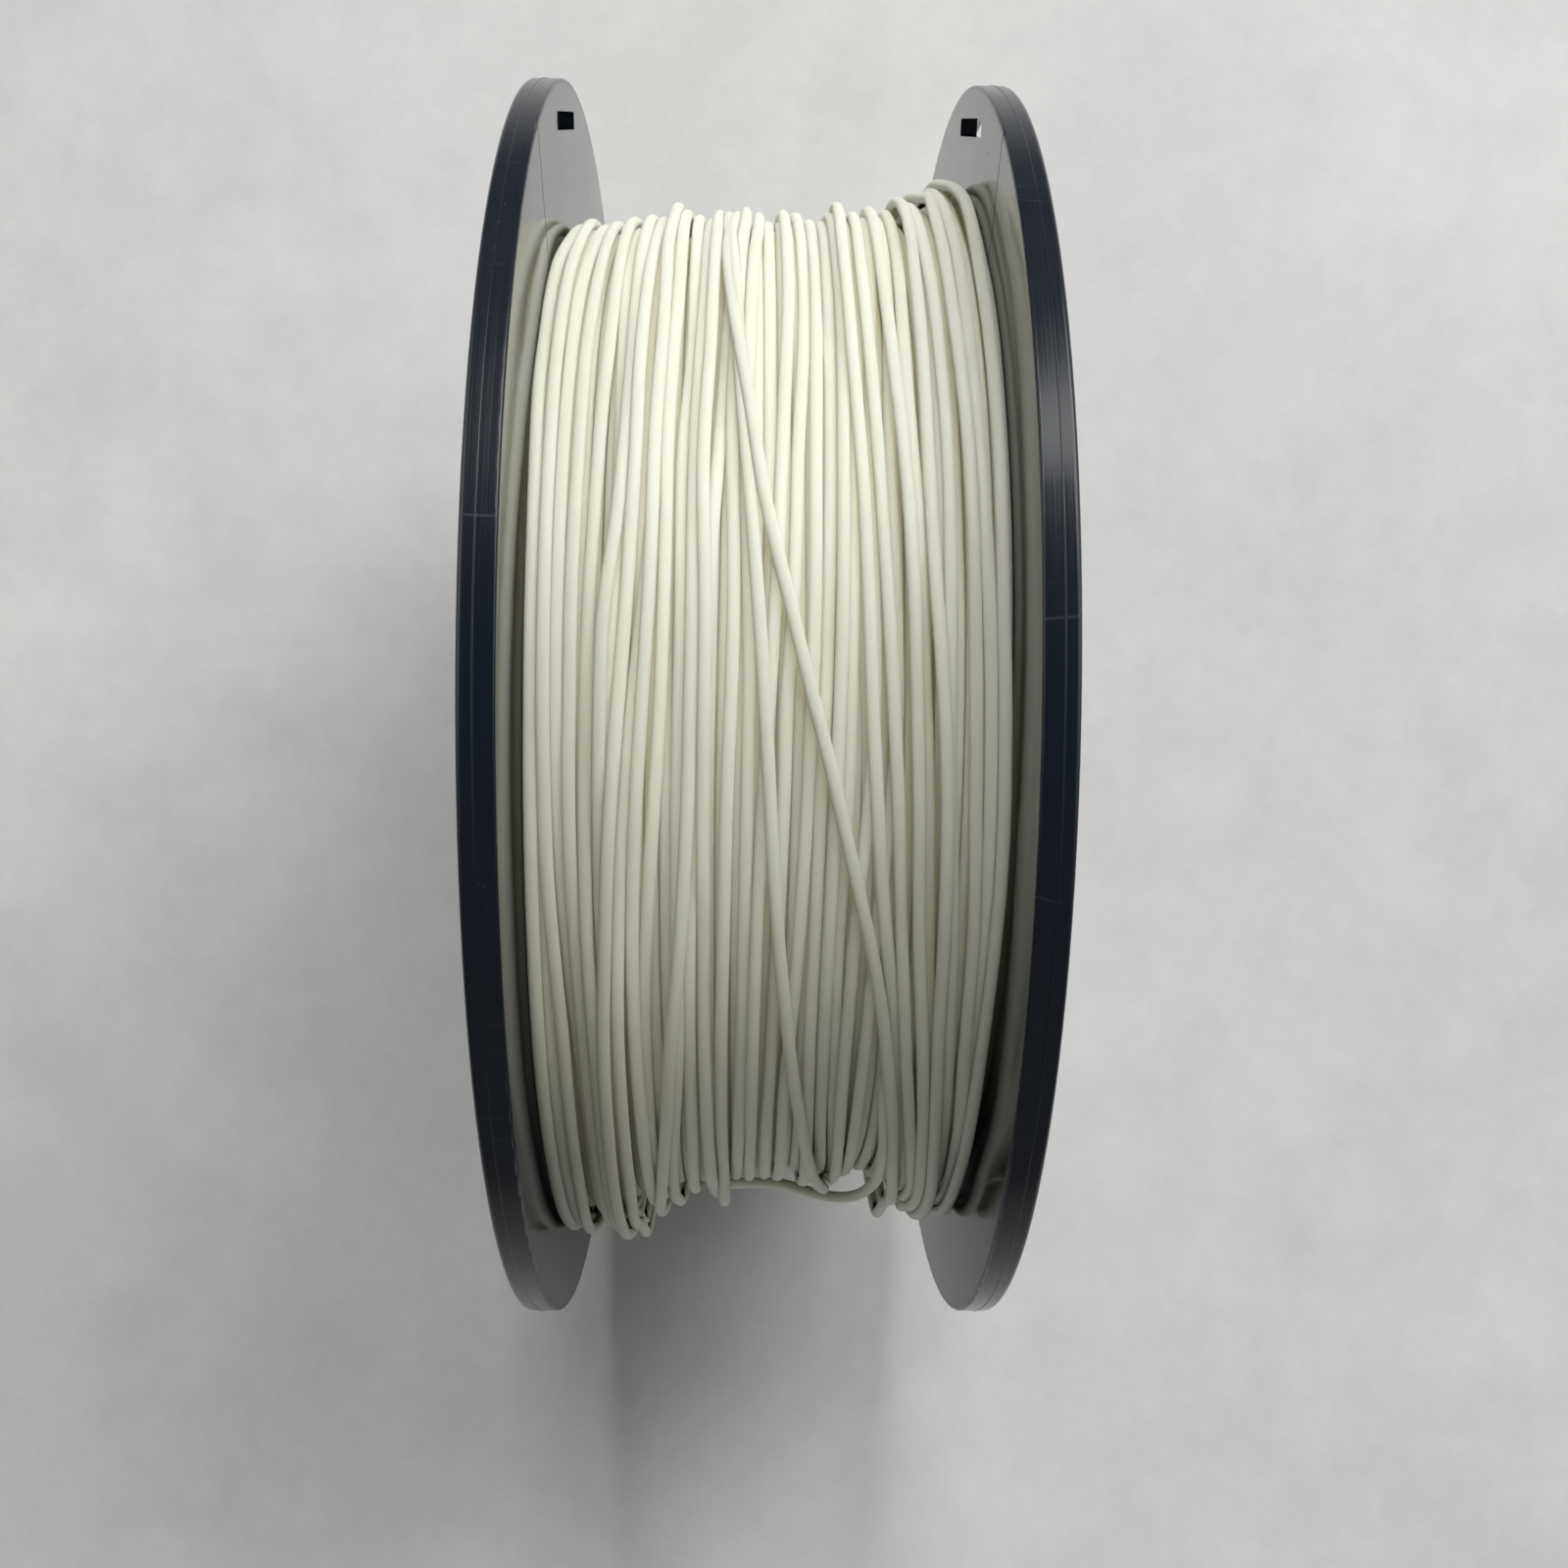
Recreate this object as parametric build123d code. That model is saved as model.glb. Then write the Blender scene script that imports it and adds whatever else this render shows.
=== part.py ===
from build123d import *
import os
from math import cos, sin, radians, pi

# Filament spool: two moulded flanges snapped into a moulded winding core, wound
# with 1.75 mm filament.  Millimetres.  The spool's axis is +Y, +Z is up, the
# origin is the middle of the spool on its axis, and the spool stands on its rims.
# Angles around the axis are in degrees, measured from +Z towards -X.

# ------------------------------------------------------- flange, along the axis
inner_face = 30.8                    # half the gap between the two flanges
rim_t = 4.6                          # rim width, inner face to outer lip
outer_face = inner_face + rim_t
plate_face = inner_face + 2.6        # outer side of the plate between hub and rim
hub_floor = inner_face + 2.0         # bottom of the recess between boss and hub ring
bore_tube_end = 14.0                 # the bore tube reaches this near to the middle
edge_break = 0.3                     # small bevel on moulded edges

# rim
spool_r = 100.0                      # over the parting bead
rim_r = 99.9
rim_lip_r = 96.8                     # inside of the raised outer lip
rim_lip_draft = 0.25
rim_lip_foot = 0.6
rim_fillet_out = 0.7
rim_fillet_in = 0.4
bead_y = inner_face + 2.62           # middle of the parting bead
bead_half = 0.13

# fine raised ring on the plate, inside the slots
fine_ring_r = 90.2
fine_ring_h = 0.35
fine_ring_top_half = 0.35
fine_ring_foot_half = 0.5

# hub
bore_r = 26.5
bore_tube_r = 28.7
bore_boss_r = 30.4
bore_chamfer = 0.8
boss_chamfer = 0.4
hub_ring_r0 = 40.6                   # raised ring around the hub
hub_ring_r1 = 42.6
hub_ring_foot = 0.4
hub_ring_draft = 0.05

# layout around the axis
mould_angle = 68.2                   # direction of the slots and the hub's pattern
web_count = 6
web_pitch = 360 / web_count
web_angles = [mould_angle + web_pitch * i for i in range(web_count)]
hook_angles = [angle + web_pitch / 2 for angle in web_angles]
start_angle = mould_angle + 168.0    # filament start, between two snap hooks

# ------------------------------------------------------- core and snap ring
core_r = 40.0
core_wall = 2.5
core_bore_r = core_r - core_wall
seat_depth = 0.8                     # groove in the flange for the core's end
seat_gap = 0.05                      # end clearance in the groove
seat_side_gap = 0.12
core_half = inner_face + seat_depth - seat_gap

spigot_r = 37.35                     # snap ring that enters the core
spigot_bore_r = spigot_r - 1.95
spigot_end = 19.5
spigot_lead_r = 0.5                  # bevel at the snap ring's end, across and along
spigot_lead_y = 1.0
hook_w = 8.0
hook_r = 38.7
hook_y = 22.0
slit_w = 1.2                         # slit on either side of a hook
slit_root = 28.0
overcut = 1.0                        # a cutter runs this far past what it cuts

# ------------------------------------------------------- filament
fil_r = 0.875
fil_pitch = 1.8
fil_rows = 34
fil_core_gap = 0.05
start_hole_r = 1.2
start_y = 28.4
strand_over_pack_r = 83.2


# ------------------------------------------------------- helpers
def at(angle, r, y):
    """Point at an angle, a radius and a place along the axis."""
    a = radians(angle)
    return Vector(-r * sin(a), y, r * cos(a))


def spin(part, angle):
    """Turn a piece built over +Z to an angle around the axis."""
    return Rot(0, -angle, 0) * part


def block(width, y0, y1, r0, r1, x=0):
    """Box over +Z between two places along the axis and two heights."""
    return Pos(x, (y0 + y1) / 2, (r0 + r1) / 2) * Box(width, y1 - y0, r1 - r0)


def axis_ring(outer_r, ring_bore_r, length):
    """Plain ring around the spool's axis, centred on the origin."""
    return Rot(90, 0, 0) * (Cylinder(outer_r, length) - Cylinder(ring_bore_r, length))


def rounded_plate(width, height, corner_r, thickness, direction):
    """Rounded rectangle in XZ, extruded along the axis."""
    with BuildSketch(Plane.XZ) as outline:
        Rectangle(width, height)
        fillet(outline.vertices(), corner_r)
    return extrude(outline.sketch, thickness, dir=direction)


def corner_arc(start, centre, radius, angle, end):
    """Quarter arc whose middle lies at an angle from its centre."""
    middle = (centre[0] + radius * cos(radians(angle)), centre[1] + radius * sin(radians(angle)))
    return ThreePointArc(start, middle, end)


# ------------------------------------------------------- flange
def make_flange_body():
    """Turned body of the +Y flange.  Profile points are (radius, place along the axis)."""
    rim_in_y = inner_face + rim_fillet_in
    rim_in_r = rim_r - rim_fillet_in
    rim_out_y = outer_face - rim_fillet_out
    rim_out_r = rim_r - rim_fillet_out
    seat_y = inner_face + seat_depth
    seat_r = core_r + seat_side_gap
    fine_ring_y = plate_face + fine_ring_h
    with BuildSketch(Plane.XY) as profile:
        with BuildLine():
            # bore tube, snap ring, core seat and inner face
            Polyline(
                (bore_tube_r, bore_tube_end),
                (bore_tube_r, inner_face - edge_break),
                (bore_tube_r + edge_break, inner_face),
                (spigot_bore_r, inner_face),
                (spigot_bore_r, spigot_end),
                (spigot_r - spigot_lead_r, spigot_end),
                (spigot_r, spigot_end + spigot_lead_y),
                (spigot_r, seat_y),
                (seat_r, seat_y),
                (seat_r, inner_face),
                (rim_in_r, inner_face))
            # rim with its parting bead
            corner_arc((rim_in_r, inner_face), (rim_in_r, rim_in_y), rim_fillet_in, -45,
                       (rim_r, rim_in_y))
            Line((rim_r, rim_in_y), (rim_r, bead_y - bead_half))
            ThreePointArc((rim_r, bead_y - bead_half), (spool_r, bead_y),
                          (rim_r, bead_y + bead_half))
            Line((rim_r, bead_y + bead_half), (rim_r, rim_out_y))
            corner_arc((rim_r, rim_out_y), (rim_out_r, rim_out_y), rim_fillet_out, 45,
                       (rim_out_r, outer_face))
            # outer side: lip, fine ring, hub ring, recess, boss and bore
            Polyline(
                (rim_out_r, outer_face),
                (rim_lip_r + edge_break, outer_face),
                (rim_lip_r, outer_face - edge_break),
                (rim_lip_r - rim_lip_draft, plate_face + edge_break),
                (rim_lip_r - rim_lip_foot, plate_face),
                (fine_ring_r + fine_ring_foot_half, plate_face),
                (fine_ring_r + fine_ring_top_half, fine_ring_y),
                (fine_ring_r - fine_ring_top_half, fine_ring_y),
                (fine_ring_r - fine_ring_foot_half, plate_face),
                (hub_ring_r1 + hub_ring_foot, plate_face),
                (hub_ring_r1, plate_face + hub_ring_foot),
                (hub_ring_r1 - hub_ring_draft, outer_face - edge_break),
                (hub_ring_r1 - hub_ring_draft - edge_break, outer_face),
                (hub_ring_r0 + edge_break, outer_face),
                (hub_ring_r0, outer_face - edge_break),
                (hub_ring_r0, hub_floor),
                (bore_boss_r, hub_floor),
                (bore_boss_r, outer_face - boss_chamfer),
                (bore_boss_r - boss_chamfer, outer_face),
                (bore_r + bore_chamfer, outer_face),
                (bore_r, outer_face - bore_chamfer),
                (bore_r, bore_tube_end),
                (bore_tube_r, bore_tube_end))
        make_face()
    return revolve(profile.sketch, Axis.Y, 360)


def make_webs():
    """Radial webs: inside, bore tube to snap ring; outside, boss to hub ring."""
    web_t = 1.8
    inner_web_start = 24.0
    sink = 0.6                       # into the plate, and below the outer lip
    inner_web = block(web_t, inner_web_start, inner_face + sink,
                      bore_tube_r - 0.5, spigot_r - 0.6)
    outer_web = block(web_t, hub_floor - 0.3, outer_face - sink,
                      bore_boss_r - 0.4, hub_ring_r0 + 0.4)
    return [spin(web, angle) for angle in web_angles for web in (inner_web, outer_web)]


def make_hook():
    """Nose of a snap hook over +Z, ramped on the side that enters the core first."""
    nose_start = hook_y - 1.5
    crest_start = hook_y + 0.9
    nose_end = hook_y + 1.4
    root_r = spigot_r - 0.8          # sunk into the snap ring
    with BuildSketch(Plane.YZ) as nose:
        with BuildLine():
            Polyline((nose_start, root_r), (nose_start, spigot_r + 0.15),
                     (crest_start, hook_r), (nose_end, hook_r),
                     (nose_end, root_r), close=True)
        make_face()
    return Pos(-hook_w / 2, 0, 0) * extrude(nose.sketch, hook_w, dir=(1, 0, 0))


def make_hook_cuts():
    """Slits beside each hook, and the moulding window through the plate in line with it."""
    window_gap = 0.25                # the window stands this far out from ring and hook
    slits = [block(slit_w, spigot_end - overcut, slit_root, spigot_r - 3.25, spigot_r + 1.25,
                   x=side * (hook_w + slit_w) / 2) for side in (-1, 1)]
    window = block(hook_w + 0.6, inner_face - overcut, outer_face + overcut,
                   spigot_r + window_gap, hook_r + window_gap)
    return [spin(cut, angle) for angle in hook_angles for cut in (*slits, window)]


def make_slot_cuts():
    """Two opposite slots near the rim."""
    slot_len, slot_w, slot_corner_r = 25.0, 2.6, 0.35
    slot_r = 94.0
    cutter = rounded_plate(slot_len, slot_w, slot_corner_r, rim_t + 2 * overcut, (0, 1, 0))
    slot = Pos(0, inner_face - overcut, slot_r) * cutter
    return [spin(slot, mould_angle + turn) for turn in (0, 180)]


def make_surface_marks():
    """Shallow marks; each cutter is centred on the face, so it cuts half its depth."""
    cutter_t = 0.16
    # radial witness line on the inner face
    line_w = 0.35
    line_angle = 47.7
    line = block(line_w, inner_face - cutter_t / 2, inner_face + cutter_t / 2,
                 core_r + 2, rim_r - 0.2)
    marks = [spin(line, line_angle)]
    # round marks on the plate's outer side: (count, distance from the axis, mark radius)
    for count, place_r, mark_r in ((8, 84.5, 2.5), (6, 48.0, 2.0)):
        mark = Pos(0, plate_face, place_r) * Rot(90, 0, 0) * Cylinder(mark_r, cutter_t)
        marks += [spin(mark, mould_angle + 360 / count * i) for i in range(count)]
    return marks


def make_flange():
    """The +Y flange, before its notch for the filament."""
    flange = make_flange_body() + make_webs()
    hook = make_hook()
    flange = flange + [spin(hook, angle) for angle in hook_angles]
    return flange - (make_hook_cuts() + make_slot_cuts() + make_surface_marks())


def make_start_notch():
    """Cutter that opens the +Y snap ring so that the filament's end can pass."""
    notch_w = 5.0
    notch = block(notch_w, spigot_end - overcut, inner_face - 0.2, spigot_r - 4, spigot_r + 2)
    return spin(notch, start_angle)


# ------------------------------------------------------- core
def make_core():
    """Winding core: a tube with hook windows, a thread-in hole and a ring inside."""
    window_w, window_len = hook_w + 0.8, 3.4
    core = axis_ring(core_r, core_bore_r, 2 * core_half)
    cuts = []
    for side in (-1, 1):
        window = block(window_w, side * hook_y - window_len / 2, side * hook_y + window_len / 2,
                       core_bore_r - overcut, core_r + overcut)
        cuts += [spin(window, angle) for angle in hook_angles]
    hole = Pos(0, start_y, core_r - core_wall / 2) * Cylinder(start_hole_r, core_wall + 3)
    cuts.append(spin(hole, start_angle))
    core = core - cuts
    # stiffening ring at the middle, sunk a little into the wall
    ring_len, ring_h, ring_sink = 2.0, 2.2, 0.3
    return core + axis_ring(core_bore_r + ring_sink, core_bore_r - ring_h, ring_len)


# ------------------------------------------------------- filament
def crest(y):
    """Radius of the winding's crests along the axis: fuller at both flanges."""
    return 78.4 + 1.6 * (abs(y) / 30.0) ** 3


def make_winding():
    """The wound pack: one closed solid of revolution with a row of rounded turns."""
    valley_depth = 0.45
    pack_bore_r = core_r + fil_core_gap
    half = fil_rows * fil_pitch / 2
    edges = [-half + fil_pitch * i for i in range(fil_rows + 1)]
    valleys = [(crest(y) - valley_depth, y) for y in edges]
    first, last = (pack_bore_r, edges[0]), (pack_bore_r, edges[-1])
    with BuildSketch(Plane.XY) as profile:
        with BuildLine():
            Line(first, valleys[0])
            for start, end in zip(valleys, valleys[1:]):
                middle = (start[1] + end[1]) / 2
                ThreePointArc(start, (crest(middle), middle), end)
            Line(valleys[-1], last)
            Line(last, first)
        make_face()
    return revolve(profile.sketch, Axis.Y, 360)


def strand(points):
    """Round filament along a smooth path through the points."""
    path = Spline(*points)
    section = Plane(origin=path @ 0, z_dir=path % 0) * Circle(fil_r)
    return sweep(section, path=path)


def make_outer_turns():
    """The last open turns: one strand wandering across the pack towards +Y."""
    turns, points_per_turn = 5, 20
    mean_r, r_wave = 81.05, 0.12     # the radius waves three times a turn
    first_y, lead, y_wave, y_phase = -26.0, 10.0, 1.3, 0.6
    points = []
    for i in range(turns * points_per_turn + 1):
        turn = i / points_per_turn
        y = first_y + lead * turn + y_wave * sin(2 * pi * turn + y_phase)
        points.append(at(360 * turn, mean_r + r_wave * sin(2 * pi * 3 * turn), y))
    return strand(points)


# strand that crosses the others over the top of the pack: (angle, y)
crossing_path = [
    (84, -7.9), (60.8, -7.55), (43.7, -6.3), (27.4, -3.55), (13.9, 0.45),
    (4.8, 4.2), (-5.1, 7.7), (-15.9, 12.2), (-25.9, 14.7), (-37.6, 17.2),
    (-53.0, 18.45), (-66.5, 19.7), (-84, 20.3)]

# slack strand that bows away from the pack on its +X side: (angle, radius, y)
loop_path = [
    (-38, 83.1, 14.4), (-50, 83.2, 15.6), (-62, 83.8, 15.9),
    (-70, 84.4, 14.6), (-76, 84.7, 11.9), (-83, 84.3, 6.9),
    (-90, 83.7, 2.0), (-98, 83.2, -2.6), (-110, 83.1, -6.5)]

# inner end, threaded through the core's hole and bent:
# (angle from the hole, depth below the core's surface, y from the hole)
start_path = [(0, 0.4, 0), (0, 3.0, 0), (0.6, 5.6, -0.2), (5, 7.4, -0.8)]


def make_crossing():
    return strand([at(angle, strand_over_pack_r, y) for angle, y in crossing_path])


def make_loop():
    return strand([at(angle, r, y) for angle, r, y in loop_path])


def make_start():
    return strand([at(start_angle + turn, core_r - depth, start_y + shift)
                   for turn, depth, shift in start_path])


# ------------------------------------------------------- label
def make_label():
    """Blank paper label on the -Y flange's outer side, square to the slots."""
    label_w, label_h, label_t, label_corner_r = 66.0, 30.0, 0.15, 2.0
    label_r = 66.0                   # middle of the label from the axis
    label = rounded_plate(label_w, label_h, label_corner_r, label_t, (0, -1, 0))
    return spin(Pos(0, -plate_face, label_r) * label, mould_angle - 90.0)


# ------------------------------------------------------- build and export
plain_flange = make_flange()

pieces = {
    "flange_left": mirror(plain_flange, about=Plane.XZ),
    "flange_right": plain_flange - make_start_notch(),
    "winding_core": make_core(),
    "filament_winding": make_winding(),
    "filament_outer_turns": make_outer_turns(),
    "filament_crossing_strand": make_crossing(),
    "filament_slack_loop": make_loop(),
    "filament_start_end": make_start(),
    "spool_label": make_label(),
}

os.makedirs("parts", exist_ok=True)
for name, piece in pieces.items():
    solids = piece.solids()
    body = solids[0] if len(solids) == 1 else Compound(children=list(solids))
    body.label = name
    export_step(body, "parts/%s.step" % name)
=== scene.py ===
"""A black spool wound with ivory filament, seen from straight above.

The axis of the spool lies along Y.  The camera looks down from +Z and has -X at the top of
its view.  So here front is +Z, behind or far side is -Z, top is -X, bottom is +X, left is -Y
and right is +Y.  The winding is worked out in mm, the meshes are in metres.
"""
import math
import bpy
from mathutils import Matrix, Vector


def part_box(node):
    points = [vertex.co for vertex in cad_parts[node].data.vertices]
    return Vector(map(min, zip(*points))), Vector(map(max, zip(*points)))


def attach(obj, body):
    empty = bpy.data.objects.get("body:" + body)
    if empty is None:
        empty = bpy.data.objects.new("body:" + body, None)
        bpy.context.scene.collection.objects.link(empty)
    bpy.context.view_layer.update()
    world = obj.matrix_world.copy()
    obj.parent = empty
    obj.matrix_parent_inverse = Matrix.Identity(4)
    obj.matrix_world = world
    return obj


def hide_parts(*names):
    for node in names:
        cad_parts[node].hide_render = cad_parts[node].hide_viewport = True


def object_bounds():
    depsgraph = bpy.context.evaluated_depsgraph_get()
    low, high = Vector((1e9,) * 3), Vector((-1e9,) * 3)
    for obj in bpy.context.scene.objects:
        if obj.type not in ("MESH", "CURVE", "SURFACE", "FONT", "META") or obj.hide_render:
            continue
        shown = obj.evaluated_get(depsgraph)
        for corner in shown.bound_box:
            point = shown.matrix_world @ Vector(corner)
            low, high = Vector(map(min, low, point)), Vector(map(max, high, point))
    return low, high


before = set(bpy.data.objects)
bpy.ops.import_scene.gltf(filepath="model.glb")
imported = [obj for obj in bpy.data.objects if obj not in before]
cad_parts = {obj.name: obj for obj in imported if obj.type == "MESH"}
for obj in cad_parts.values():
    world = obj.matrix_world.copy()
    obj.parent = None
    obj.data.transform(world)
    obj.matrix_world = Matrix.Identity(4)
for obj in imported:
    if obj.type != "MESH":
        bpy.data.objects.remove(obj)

from types import SimpleNamespace

import bpy
import numpy as np
from mathutils import Matrix, Vector

MM = 0.001
cad_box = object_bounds()
winding_high = np.array(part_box("filament_winding")[1]) / MM

# ------------------------------------------------------------ sizes, mm
WALL = winding_high[1] + 0.2            # inner faces of the flanges lie at y = +-WALL
RHO = 1.75 / 2                          # radius of the filament
EDGE = WALL - RHO - 0.04                # outermost place of a strand's centre
LEVEL = 1.49                            # height gained by a layer that nests in the one below
CORE_R = 40.05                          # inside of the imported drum

# ======================================================= filament winding model
# The winding is a height field in angle and axial place.  Strands are laid on it
# one after the other: each one rests on what is under it, is pulled tight over
# the gaps, and raises the field for the next.  Angles run from +Z towards -X.
NPHI = 720
PER_DEG = NPHI // 360                   # field rows per degree
DY = 0.1
PH = np.arange(NPHI) * 2 * np.pi / NPHI
PHD = np.degrees(PH)
NY = int(round(2 * WALL / DY)) + 1
YG = -WALL + DY * np.arange(NY)

# radius of the outer turns along the axis, mm: (places, radii), at the top and at the bottom
TOP = ([-31, -28, -21, -13, -3, 6, 12, 18, 24, 29, 31],
       [78.6, 78.5, 78.2, 79.5, 80.2, 79.6, 80.5, 81.5, 83.8, 85.4, 85.6])
BOTTOM = ([-31, -30, -27, -22, -18, -15, -12, -6, -2.4, 1, 8, 14, 17, 22, 26, 29, 31],
          [87.8, 88.0, 86.4, 86.2, 84, 83, 81, 80.3, 79.3, 78.5, 78.5, 77.8, 78, 80.5, 81.5,
           81.7, 81.5])

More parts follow.
